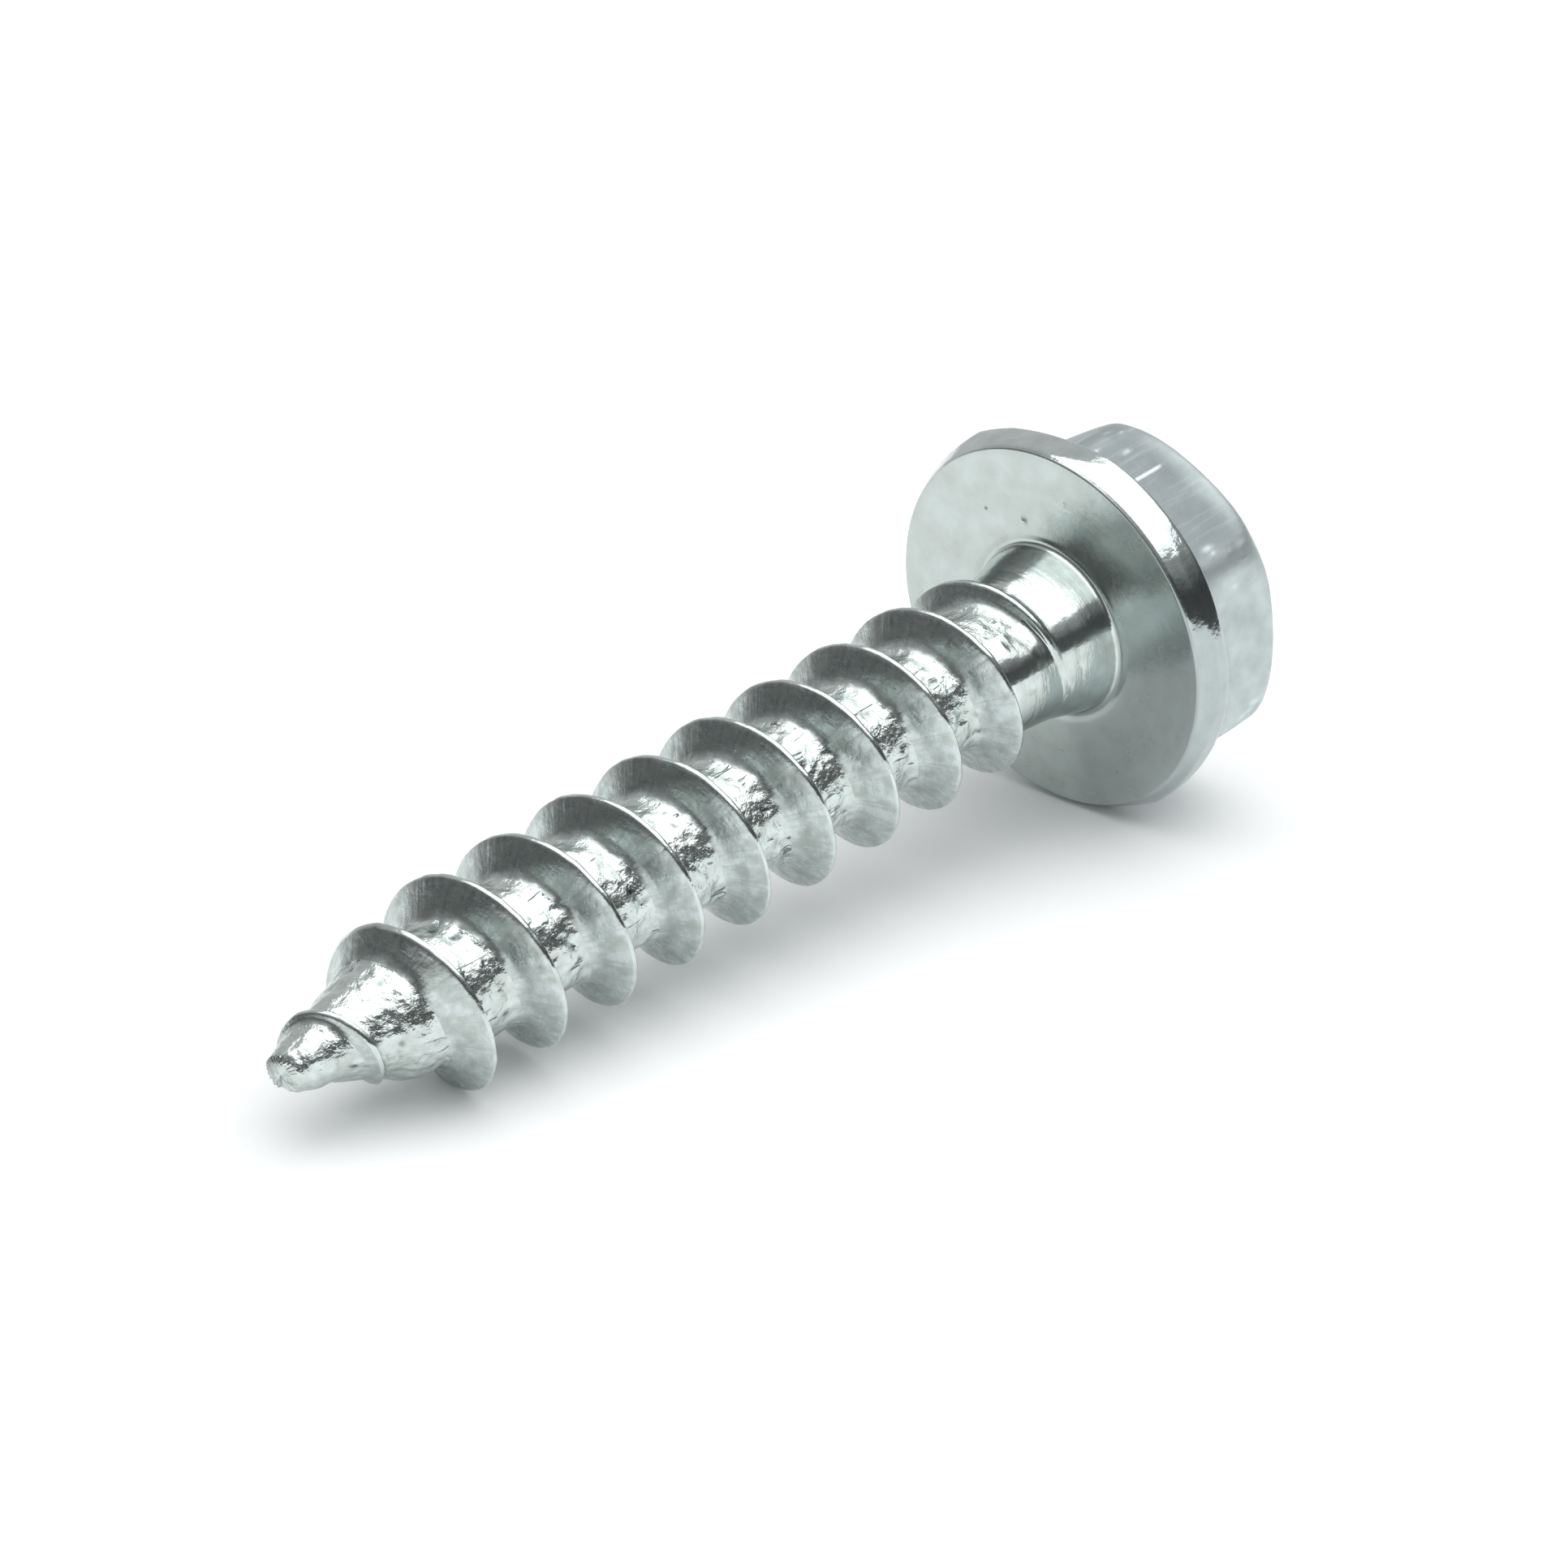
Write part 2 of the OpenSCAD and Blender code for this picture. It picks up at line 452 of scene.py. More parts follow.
class Profile:
    """A row of half sections, each a line with eased corners, as radius and height along the axis."""

    MOST_EASE = 0.48

    def __init__(self) -> None:
        """Starts with no points."""
        self.rows: List[np.ndarray] = []
        self.zones: List[Finish] = []

    def put(self, point: np.ndarray, zone: Finish) -> None:
        """Adds one point to every half section.

        Args:
            point: Radius and height for each half section.
            zone: Finish of the surface from this point to the next.
        """
        self.rows.append(point)
        self.zones.append(zone)

    def line(self, corners: Sequence[np.ndarray], eases: Sequence[float], bends: Sequence[int],
             runs: Sequence[int], zones: Sequence[Finish]) -> None:
        """Adds a line through corners, each eased by a short curve.

        Args:
            corners: Radius and height of each corner, for each half section.
            eases: How far the curve at each corner reaches along its sides.
            bends: Points in the curve at each corner.
            runs: Points inside each straight part.
            zones: Finish of each straight part.
        """
        last = len(corners) - 1
        ends: List[Tuple[np.ndarray, np.ndarray]] = []
        for j, corner in enumerate(corners):
            sides = []
            for other in (max(j - 1, 0), min(j + 1, last)):
                way = corners[other] - corner
                span = np.linalg.norm(way, axis=-1, keepdims=True)
                reach = np.minimum(eases[j], self.MOST_EASE * span) / np.maximum(span, TINY)
                sides.append(corner + way * reach)
            ends.append((sides[0], sides[1]))
        for j, corner in enumerate(corners):
            zone_in, zone_out = zones[max(j - 1, 0)], zones[min(j, last - 1)]
            for t in np.linspace(0.0, 1.0, bends[j]) if bends[j] > 1 else [0.5]:
                point = (1 - t) ** 2 * ends[j][0] + 2 * t * (1 - t) * corner + t * t * ends[j][1]
                self.put(point, zone_in if t < 0.5 else zone_out)
            if j < last:
                for k in range(runs[j]):
                    t = (k + 1) / (runs[j] + 1)
                    self.put((1 - t) * ends[j][1] + t * ends[j + 1][0], zone_out)

    def points(self) -> np.ndarray:
        """Returns the points as half section, place along it, radius and height."""
        return np.stack(self.rows, axis=1)


def smooth_step(value: np.ndarray) -> np.ndarray:
    """Eases a value from 0 to 1."""
    held = np.clip(value, 0.0, 1.0)
    return held * held * (3 - 2 * held)


def in_zones(zones: Sequence[Finish], *finishes: Finish) -> np.ndarray:
    """Tells at which places of a section these finishes are worn, as one row."""
    return np.array([zone in finishes for zone in zones])[None, :]


def section_normals(points: np.ndarray) -> np.ndarray:
    """Finds the outward direction at each point of each half section.

    Args:
        points: Half section, place along it, radius and height.

    Returns:
        Directions as radius and height.
    """
    way = np.gradient(points, axis=1)
    normal = np.stack([way[..., 1], -way[..., 0]], axis=-1)
    return normal / np.maximum(np.linalg.norm(normal, axis=-1, keepdims=True), TINY)


def turned(points: np.ndarray, angles: np.ndarray) -> np.ndarray:
    """Turns half sections about the axis.

    Args:
        points: Half section, place along it, radius and height.
        angles: Angle of each half section, in radians.

    Returns:
        Places in millimetres.
    """
    across, up = np.cos(angles)[:, None], np.sin(angles)[:, None]
    return np.stack([points[..., 0] * across, points[..., 0] * up, points[..., 1]], axis=-1)


@dataclass(frozen=True)
class Lay:
    """Where the screw lies: its bearing face's centre in millimetres and the fall of its axis."""

    tilt: float = math.radians(6.94135)
    x: float = 10.3069
    z: float = 4.73328

    def ways(self, ways: np.ndarray) -> np.ndarray:
        """Turns directions from the screw's own frame to the row frame."""
        s, c = math.sin(self.tilt), math.cos(self.tilt)
        return ways @ np.array([[-s, 0.0, c], [0.0, 1.0, 0.0], [-c, 0.0, -s]])

    def places(self, places: np.ndarray) -> np.ndarray:
        """Moves places in millimetres from the screw's own frame to the row frame, in metres."""
        return (self.ways(places) + np.array([self.x, 0.0, self.z])) * MM


class ScrewPiece:
    """What the pieces of the screw share: making the mesh, laying it down and dressing it."""

    lay = Lay()

    def make(self, name: str, places: np.ndarray, faces: List[Tuple[int, ...]], zones: List[Finish],
             marks: Dict[str, np.ndarray]) -> bpy.types.Object:
        """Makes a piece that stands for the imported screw.

        Args:
            name: The piece's name.
            places: Points in millimetres in the screw's own frame.
            faces: Point numbers of each face.
            zones: Finish of each face.
            marks: Values at each point, by name, for the finishes.

        Returns:
            The piece.
        """
        mesh = bpy.data.meshes.new(name)
        mesh.from_pydata(self.lay.places(places).tolist(), [], faces)
        used = list(dict.fromkeys(zones))
        for zone in used:
            mesh.materials.append(finish_material(zone))
        numbers = {zone: n for n, zone in enumerate(used)}
        mesh.polygons.foreach_set("material_index", [numbers[z] for z in zones])
        mesh.polygons.foreach_set("use_smooth", [True] * len(faces))
        for mark, values in {"place": places, **marks}.items():
            is_vector = values.ndim == 2
            layer = mesh.attributes.new(mark, "FLOAT_VECTOR" if is_vector else "FLOAT", "POINT")
            layer.data.foreach_set("vector" if is_vector else "value", values.astype(np.float32).ravel())
        mesh.validate()
        mesh.update()
        piece = link_object(name, mesh)
        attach(piece, BODY)
        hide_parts(NODE)
        LOG.info("%s: %d points, %d faces", name, len(places), len(faces))
        return piece


MATERIALS: Dict[str, bpy.types.Material] = {}


def finish_material(finish: Finish) -> bpy.types.Material:
    """Gives a finish's material, made once.

    Args:
        finish: The finish.

    Returns:
        The material.
    """
    if finish.name not in MATERIALS:
        MATERIALS[finish.name] = finish.value.material()
    return MATERIALS[finish.name]


@dataclass
class ThreadedShank(ScrewPiece):
    """The rolled core, its thread and the point, in millimetres from the bearing face."""

    thread_r: float = 2.32
    core_r: float = 1.47
    shank_r: float = 1.7
    taper_end: float = 2.1
    taper: float = math.tan(math.radians(12))
    pitch: float = 2.117
    crest_w: float = 0.12
    lead_slope: float = math.tan(math.radians(31))
    trail_slope: float = math.tan(math.radians(13))
    thread_turn: float = 9.0
    thread_z: float = 1.6
    run_in: float = 0.38
    start: float = 0.7
    length: float = 24.75
    crest_point: Tuple[Tuple[float, float], ...] = (
        (0.0, 0.4), (0.5, 0.7), (1.55, 1.05), (2.0, 1.25), (2.4, 1.3), (3.65, 2.16), (4.1, 2.32))
    fin_end: float = 24.38
    fin_run_out: float = 0.5
    core_end: float = 24.42
    core_cone: float = math.tan(math.radians(21))
    point_r: float = 0.42
    point_round: float = 0.3
    lean: float = 0.18
    lean_from: float = 20.5
    lean_turn: float = math.radians(70)
    pinch: float = 0.22
    pinch_turn: float = math.radians(218)
    pinch_wide: float = math.radians(50)
    pinch_span: Tuple[float, float] = (21.2, 24.0)
    pinch_run: float = 0.9
    steps: int = 160
    lead_turns: int = 2
    root_ease: float = 0.3
    crest_ease: float = 0.04
    root_relief: float = 0.03
    flank_relief: float = 0.006
    crest_relief: float = 0.014
    relief_seed: int = 11
    lumps: Tuple[Tuple[float, float, float], ...] = ((0.42, 0.0, 0.85), (0.2, 7.3, 0.6), (0.12, 3.7, 0.32))
    drag_lump: Tuple[float, float, float] = (0.3, 21.0, 0.2)
    drag_draw: float = 0.35
    lump_limit: float = 1.2
    plain_relief: float = 0.1
    calm_from: float = 21.5
    calm_run: float = 1.5
    calm: float = 0.25
    # How strongly the lumps mark the relief, whose low parts are painted dark as shade, on the roots and
    # elsewhere.
    root_shade: float = 0.62
    other_shade: float = 0.2
    pits: int = 260
    dents: int = 36
    pit_seed: int = 5
    pit_ends: Tuple[float, float] = (1.0, 1.4)
    pit_wide: Tuple[float, float] = (0.04, 0.1)
    pit_deep: Tuple[float, float] = (0.015, 0.04)
    # How dark pits and dents are painted, as shade in them.
    pit_dark: Tuple[float, float] = (0.3, 1.3)
    dent_wide: Tuple[float, float] = (0.13, 0.24)
    dent_deep: Tuple[float, float] = (0.02, 0.05)
    dent_dark: Tuple[float, float] = (0.0, 0.2)
    pit_long: float = 1.4
    pit_wall: float = 1.5
    pit_reach: float = 4.0
    pit_rolled: float = 0.6
    neck_rolled: float = 0.3

    def formed(self, z: np.ndarray) -> np.ndarray:
        """Tells how far the thread is formed at heights, from 0 to 1."""
        return np.clip((z - self.thread_z) / (self.run_in * self.pitch), 0.0, 1.0)

    def cone(self, z: np.ndarray) -> np.ndarray:
        """Gives the core's radius at the point, a cone with a rounded end.

        Args:
            z: Heights.

        Returns:
            Radii.
        """
        left = np.clip(self.core_end - z, 0.0, None)
        base = self.point_r + self.point_round * self.core_cone
        end = base * np.sqrt(np.clip(1 - (1 - left / self.point_round) ** 2, 0.0, 1.0))
        return np.where(left < self.point_round, end, self.point_r + left * self.core_cone)

    def plain(self, z: np.ndarray) -> np.ndarray:
        """Gives the radius at heights before the thread is formed."""
        return self.shank_r + np.clip(self.taper_end - z, 0.0, None) * self.taper

    def crest_at(self, z: np.ndarray, share: np.ndarray) -> np.ndarray:
        """Gives the crest's radius.

        Args:
            z: Heights.
            share: How far the thread is formed there, from 0 to 1.

        Returns:
            Radii.
        """
        full = self.plain(z) + (self.thread_r - self.plain(z)) * share
        core = self.core_at(z, share)
        lefts, radii = zip(*self.crest_point)
        fin = np.minimum(full, np.interp(self.length - z, lefts, radii)) - core
        return core + fin * smooth_step((self.fin_end - z) / self.fin_run_out)

    def core_at(self, z: np.ndarray, share: np.ndarray) -> np.ndarray:
        """Gives the core's radius at heights, for a groove that is formed so far."""
        full = self.plain(z) + (self.core_r - self.plain(z)) * share
        return np.minimum(full, self.cone(z))

    def foot(self, fall: np.ndarray, slope: float) -> np.ndarray:
        """Gives half the width of a ridge at its foot, on a side of this slope that falls so far."""
        return self.crest_w / 2 + np.maximum(fall, self.crest_w) * slope

    def corners(self, z: np.ndarray) -> List[np.ndarray]:
        """Finds the section of the ridge: foot, crest, crest and foot.

        Args:
            z: Height of the ridge's middle at each step.

        Returns:
            Radius and height of each corner.
        """
        half = self.crest_w / 2
        share, share_before = self.formed(z), self.formed(z - self.pitch)
        top = self.crest_at(z, share)
        before = self.foot(top - self.core_at(z, share_before), self.trail_slope)
        after = self.foot(top - self.core_at(z, share), self.lead_slope)
        return [
            np.stack([self.core_at(z - before, share_before), z - before], axis=-1),
            np.stack([self.crest_at(z - half, share), z - half], axis=-1),
            np.stack([self.crest_at(z + half, share), z + half], axis=-1),
            np.stack([self.core_at(z + after, share), z + after], axis=-1),
        ]

    def pinched(self, z: np.ndarray, turn: np.ndarray) -> np.ndarray:
        """Gives how far the dies pressed the point in on its lower side.

        Args:
            z: Heights, as step and place in the section.
            turn: Angle of each step.

        Returns:
            Depths.
        """
        low, high = self.pinch_span
        along = smooth_step((z - low) / self.pinch_run) * smooth_step((high - z) / self.pinch_run)
        off = np.angle(np.exp(1j * (turn - self.pinch_turn)))[:, None]
        return self.pinch * np.exp(-(off / self.pinch_wide) ** 2) * along

    def roughen(self, points: np.ndarray, places: np.ndarray, zones: List[Finish], rolled: np.ndarray
                ) -> Tuple[np.ndarray, np.ndarray]:
        """Adds the relief that rolling leaves.

        Args:
            points: Step, place in the section, radius and height.
            places: The same points in millimetres about the axis.
            zones: Finish at each place in the section.
            rolled: How far the groove is formed at each point, from 0 to 1.

        Returns:
            The moved points and the relief at each, from -1 to 1; the finishes paint its low parts dark as
            shade.
        """
        grain = Grain(self.relief_seed)
        drawn = places * np.array([1.0, 1.0, self.drag_draw])
        layers = [(places, *lump) for lump in self.lumps] + [(drawn, *self.drag_lump)]
        lumps = sum(share * grain.at(base + off, cell) for base, cell, off, share in layers)
        size = {
            Finish.ROOT: self.root_relief, Finish.FLANK: self.flank_relief, Finish.CREST: self.crest_relief}
        depth = np.array([size[z] for z in zones])[None, :]
        calmed = 1 - self.calm * smooth_step((points[..., 1] - self.calm_from) / self.calm_run)
        shown = self.plain_relief + (1 - self.plain_relief) * rolled
        move = np.clip(lumps, -self.lump_limit, self.lump_limit) * depth * shown * calmed
        is_root = in_zones(zones, Finish.ROOT)
        # The relief mark, whose low parts the finishes paint dark as shade.
        relief = np.where(is_root, self.root_shade, self.other_shade) * lumps

        rng = np.random.default_rng(self.pit_seed)

        def draw(pit: Tuple[float, float], dent: Tuple[float, float]) -> np.ndarray:
            """Draws a value for each pit and then for each dent."""
            return np.append(rng.uniform(*pit, self.pits), rng.uniform(*dent, self.dents))

        count = self.pits + self.dents
        turns = rng.uniform(-math.pi, math.pi, count)
        heights = rng.uniform(self.thread_z + self.pit_ends[0], self.length - self.pit_ends[1], count)
        wide = draw(self.pit_wide, self.dent_wide)
        deep = draw(self.pit_deep, self.dent_deep)
        dark = draw(self.pit_dark, self.dent_dark)
        angle = np.arctan2(places[..., 1], places[..., 0])
        open_root = is_root & (rolled > self.pit_rolled)
        for turn, z, w, d, shade in zip(turns, heights, wide, deep, dark):
            row, column = np.nonzero((np.abs(points[..., 1] - z) < self.pit_reach * w) & open_root)
            off = np.angle(np.exp(1j * (angle[row, column] - turn))) * points[row, column, 0] / w
            along = (points[row, column, 1] - z) / (w * self.pit_long)
            pit = np.exp(-(off ** 2 + along ** 2) ** self.pit_wall)
            move[row, column] -= d * pit
            # Painted shade in the pit.
            relief[row, column] -= shade * pit
        return points + section_normals(points) * move[..., None], np.clip(relief, -1, 1)

    def build(self) -> bpy.types.Object:
        """Builds the shank.

        Returns:
            The piece.
        """
        reach = self.length + (self.lead_turns + 1) * self.pitch - self.start
        count = int(math.ceil(self.steps * reach / self.pitch))
        first = self.start - self.lead_turns * self.pitch
        z = first + self.pitch * np.arange(count + 2 * self.steps + 1) / self.steps
        angle = np.radians(self.thread_turn) + 2 * math.pi * z / self.pitch
        ridge = self.corners(z)
        n = len(z) - 2 * self.steps
        here = slice(self.steps, self.steps + n)
        middle_before = (ridge[-1][:n] + ridge[0][here]) / 2
        middle_after = (ridge[-1][here] + ridge[0][2 * self.steps:]) / 2
        profile = Profile()
        e, c = self.root_ease, self.crest_ease
        profile.line(
            corners=[middle_before, *[corner[here] for corner in ridge], middle_after],
            eases=[0, e, c, c, e, 0],
            bends=[1, 7, 3, 3, 7, 1],
            runs=[8, 5, 1, 5, 8],
            zones=[Finish.ROOT, Finish.FLANK, Finish.CREST, Finish.FLANK, Finish.ROOT],
        )
        points = profile.points()[:, :-1]
        zones = profile.zones[:-1]
        turn = angle[here]
        least = np.minimum(self.core_r, self.cone(points[..., 1]))
        points[..., 0] = np.maximum(points[..., 0], np.where(points[..., 1] > self.lean_from, least, 0))
        points[..., 0] -= self.pinched(points[..., 1], turn)
        first_crest = zones.index(Finish.CREST)
        before = (np.arange(len(zones)) < first_crest)[None, :]
        rolled = np.where(before, self.formed(z[here] - self.pitch)[:, None], self.formed(z[here])[:, None])
        points, relief = self.roughen(points, turned(points, turn), zones, rolled)
        places = turned(points, turn)
        bent = smooth_step((points[..., 1] - self.lean_from) / (self.core_end - self.lean_from)) ** 2
        places[..., 0] += self.lean * bent * math.cos(self.lean_turn)
        places[..., 1] += self.lean * bent * math.sin(self.lean_turn)
        return self.join_up(points, places, relief, turn, zones, rolled)

    def join_up(self, points: np.ndarray, places: np.ndarray, relief: np.ndarray, turn: np.ndarray,
                zones: List[Finish], rolled: np.ndarray) -> bpy.types.Object:
        """Joins the steps into a closed mesh.

        Args:
            points: Step, place in the section, radius and height.
            places: The same points in millimetres about the axis.
            relief: Relief at each point.
            turn: Angle of each step.
            zones: Finish at each place in the section.
            rolled: How far the groove is formed at each point, from 0 to 1.

        Returns:
            The piece.
        """
        n, k = points.shape[:2]
        tip = [self.lean * math.cos(self.lean_turn), self.lean * math.sin(self.lean_turn), self.core_end]
        ends = np.array([[0, 0, self.start], tip])
        number = np.arange(n * k).reshape(n, k) + len(ends)
        number = np.where(points[..., 1] >= self.core_end, 1, number)
        number = np.where(points[..., 1] <= self.start, 0, number)
        rows = n - self.steps - 1
        low = np.concatenate([number[:-self.steps], number[self.steps:, :1]], axis=1)
        this, after = low[:rows], low[1:rows + 1]
        quads = np.stack([this[:, :-1], after[:, :-1], after[:, 1:], this[:, 1:]], axis=-1)
        faces: List[Tuple[int, ...]] = []
        face_zones: List[Finish] = []
        for j in range(k):
            for row, quad in enumerate(quads[:, j].tolist()):
                ring = tuple(p for i, p in enumerate(quad) if p != quad[i - 1])
                if len(set(ring)) == len(ring) and len(ring) > 2:
                    faces.append(ring)
                    threaded = rolled[row, j] > self.neck_rolled or zones[j] is Finish.CREST
                    face_zones.append(zones[j] if threaded else Finish.NECK)
        used = np.unique(np.concatenate([np.array(f) for f in faces]))
        new = np.zeros(n * k + len(ends), int)
        new[used] = np.arange(len(used))
        faces = [tuple(int(new[p]) for p in face) for face in faces]
        gaps = np.linalg.norm(np.diff(points, axis=1), axis=-1)
        across = np.concatenate([np.zeros((n, 1)), np.cumsum(gaps, axis=1)], axis=1)
        along = np.broadcast_to(turn[:, None] * self.core_r, across.shape)
        coil = np.stack([along, across, np.zeros_like(across)], axis=-1)
        all_places = np.concatenate([ends, places.reshape(-1, 3)])[used]
        marks = {
            "relief": np.concatenate([[0, 0], relief.ravel()])[used],
            "wear_and_highlight": np.zeros(len(used)),
            "coil": np.concatenate([np.zeros((2, 3)), coil.reshape(-1, 3)])[used],
        }
        return self.make("threaded_shank", all_places, faces, face_zones, marks)


@dataclass
class FlangedHead(ScrewPiece):
    """The neck, the flange and the hexagon, cold formed in one, in millimetres from the bearing face."""

    neck_r: float = 1.808
    neck_l: float = 1.5
    neck_fillet: float = 0.13
    neck_under: float = 0.07
    neck_taper: float = 0.379
    flange_r: float = 4.95
    rest_r: float = 4.81
    bearing_r: float = 4.65
    edge_slope: float = math.tan(math.radians(25))
    rim_h: float = 0.08
    rim_chamfer: float = 0.2
    land_h: float = 1.001
    top_draw: float = 0.11
    top_draw_wide: float = math.radians(24)
    hex_side_r: float = 3.9
    hex_round: float = 0.8
    head_h: float = 3.6
    ease: float = 1.0
    ease_blend: float = 0.16
    dish_r: float = 2.4
    dish_depth: float = 0.35
    neck_end_ease: float = 0.004
    edge_eases: Tuple[float, ...] = (0.07, 0.09, 0.06, 0.1)
    hex_ease: float = 0.28
    rim_least: float = 0.05
    ease_leads: Tuple[float, ...] = (0.6, 0.48, 0.36, 0.24, 0.12)
    ease_points: int = 16
    land_points: int = 7
    land_out: float = 0.2
    dish_points: int = 24
    dish_out: float = 0.1
    dish_lip: float = 0.0005
    pole_r: float = 0.08
    relief_seed: int = 23
    lumps: Tuple[Tuple[float, float, float], ...] = ((0.95, 0.0, 0.7), (0.3, 5.1, 0.3))
    # How strongly the fine lumps mark the relief, whose lowest parts are painted dark as shade.
    fine_shade: float = 0.3
    ring_step_r: float = 2.3
    ring_step: float = 0.03
    ring_step_run: float = 0.12
    off_axis: Tuple[float, float] = (-0.1, -0.18)
    off_from: float = 0.85
    off_run: float = 0.35
    # Painted shade on each hex face, one level per face; higher is darker.
    face_shades: Tuple[float, ...] = (0.5, 0.2, 0.7, 0.3, 0.05, 1.0)
    face_shade_edge: float = 6.0
    # Painted reflection: the sector of the bearing face and rim round this angle is darkened, standing in
    # for the shadowed floor under the shank.
    painted_reflection_share: float = 0.45
    painted_reflection_turn: float = 245.0
    painted_reflection_half: float = 62.0
    painted_reflection_soft: float = 16.0
    columns: int = 576
    pits: Tuple[Tuple[float, float, float, float], ...] = (
        (2.744, 1.717, 0.07, 0.04), (2.79, 0.549, 0.085, 0.05),
        (-3.3, -1.9, 0.06, 0.02), (3.6, -0.8, 0.05, 0.015))
    # How dark the bearing face's pits are painted, as shade in them.
    pit_dark: float = 1.2
    # A thin raised line on a hex face, painted bright as a highlight: angle, start height and end height.
    highlight_line: Tuple[float, float, float] = (-19.6, 1.62, 2.66)
    highlight_line_wide: float = 0.03
    highlight_line_end: float = 0.1
    highlight_line_high: float = 0.02
    nick_seed: int = 17
    nicks: int = 8
    nick_spread: float = 5.0
    nick_heights: Tuple[float, float] = (1.5, 3.3)
    nick_wide: Tuple[float, float] = (0.035, 0.08)
    nick_deep: Tuple[float, float] = (0.003, 0.01)
    nick_r: float = 4.2
    nick_long: float = 2.2
    nick_wear: float = 0.45

    SIDES = 6
    HALF_SIDE = math.pi / 6
    RELIEF = {
        Finish.NECK: 0.003, Finish.BEARING: 0.004, Finish.RIM: 0.004,
        Finish.BACK: 0.005, Finish.HEX: 0.007, Finish.TOP: 0.008}

    def flange_edge(self, turn: np.ndarray) -> np.ndarray:
        """Gives the flange's radius: six wide arcs, drawn in below each hex corner.

        Args:
            turn: Angles in radians.

        Returns:
            Radii.
        """
        half = self.HALF_SIDE
        drawn_in = self.rest_r - self.flange_r * math.cos(half)
        shift = (self.flange_r ** 2 - self.rest_r ** 2) / (2 * drawn_in)
        wide = self.rest_r + shift
        off = (turn + half) % (2 * half) - half
        edge = -shift * np.cos(off) + np.sqrt(wide ** 2 - (shift * np.sin(off)) ** 2)
        from_top = (turn + math.pi) % (2 * math.pi) - math.pi
        return edge - self.top_draw * np.exp(-(from_top / self.top_draw_wide) ** 2)

    def hex_edge(self, turn: np.ndarray) -> np.ndarray:
        """Gives the hexagon's radius, with rounded corners.

        Args:
            turn: Angles in radians.

        Returns:
            Radii.
        """
        half = self.HALF_SIDE
        corner = (self.hex_side_r - self.hex_round) / math.cos(half)
        off = np.abs((turn + half) % (2 * half) - half)
        left = np.clip(self.hex_round ** 2 - (corner * np.sin(off)) ** 2, 0, None)
        bend = corner * np.cos(off) + np.sqrt(left)
        flat = self.hex_side_r / np.cos(half - off)
        limit = math.atan2(self.hex_round * math.sin(half), corner + self.hex_round * math.cos(half))
        return np.where(off < limit, bend, flat)

    def eased(self, side: np.ndarray, turning: float) -> np.ndarray:
        """Joins the hexagon's sides to the turned top edge by a soft edge.

        Args:
            side: The hexagon's radii.
            turning: Radius of the turned edge.

        Returns:
            Radii.
        """
        near = np.clip(self.ease_blend - np.abs(side - turning), 0, None) / self.ease_blend
        return np.minimum(side, turning) - near ** 2 * self.ease_blend / 4

    def profile(self, turn: np.ndarray) -> Profile:
        """Draws the half sections, from the neck's end to the middle of the top.

        Args:
            turn: Angle of each half section.

        Returns:
            The half sections.
        """
        flange, side = self.flange_edge(turn), self.hex_edge(turn)

        def at(r: Any, z: Any) -> np.ndarray:
            """Sets one radius and height for every half section."""
            spread = [np.broadcast_to(value, turn.shape) for value in (r, z)]
            return np.stack(spread, axis=-1).astype(float)

        edge_z = (flange - self.bearing_r) / self.edge_slope
        rim_end = (self.flange_r - self.bearing_r) / self.edge_slope + self.rim_h
        thick = rim_end + self.rim_chamfer
        back = np.minimum(self.flange_r - self.rim_chamfer, flange - self.rim_least)
        upright = np.minimum(rim_end + self.flange_r - flange, thick - self.rim_least)
        reach = float(self.hex_edge(np.zeros(1))[0])
        low = self.head_h - self.ease
        first_lead, *leads = self.ease_leads
        drawn = Profile()
        drawn.line(
            corners=[
                at(self.neck_r - self.neck_under, self.neck_l), at(self.neck_r, self.neck_l),
                at(self.neck_r + self.neck_taper, 0), at(self.bearing_r, 0), at(flange, -edge_z),
                at(flange, -upright), at(back, -thick), at(side, -self.land_h), at(side, first_lead - low)],
            eases=[0, self.neck_end_ease, self.neck_fillet, *self.edge_eases, self.hex_ease, 0],
            bends=[1, 3, 9, 5, 5, 4, 4, 7, 1],
            runs=[1, 6, 26, 4, 4, 2, 5, 5],
            zones=[
                Finish.NECK, Finish.NECK, Finish.BEARING, Finish.RIM, Finish.RIM, Finish.RIM, Finish.BACK,
                Finish.HEX],
        )
        for left in leads:
            drawn.put(at(self.eased(side, reach + left * left / 2), left - low), Finish.HEX)
        for bend in np.radians(np.linspace(0, 90, self.ease_points)):
            height = self.head_h - self.ease * (1 - math.sin(bend))
            radius = self.eased(side, reach - self.ease * (1 - math.cos(bend)))
            drawn.put(at(radius, -height), Finish.HEX)
        flat_r = reach - self.ease
        ball = (self.dish_r ** 2 + self.dish_depth ** 2) / (2 * self.dish_depth)
        for r in np.linspace(flat_r, self.dish_r + self.land_out, self.land_points)[1:]:
            drawn.put(at(r, -self.head_h), Finish.HEX)
        for r in np.linspace(self.dish_r + self.dish_out, self.pole_r, self.dish_points):
            sunk = math.sqrt(ball ** 2 - r * r) - (ball - self.dish_depth)
            lip = (sunk + math.sqrt(sunk * sunk + self.dish_lip)) / 2
            drawn.put(at(r, -self.head_h + lip), Finish.TOP)
        return drawn

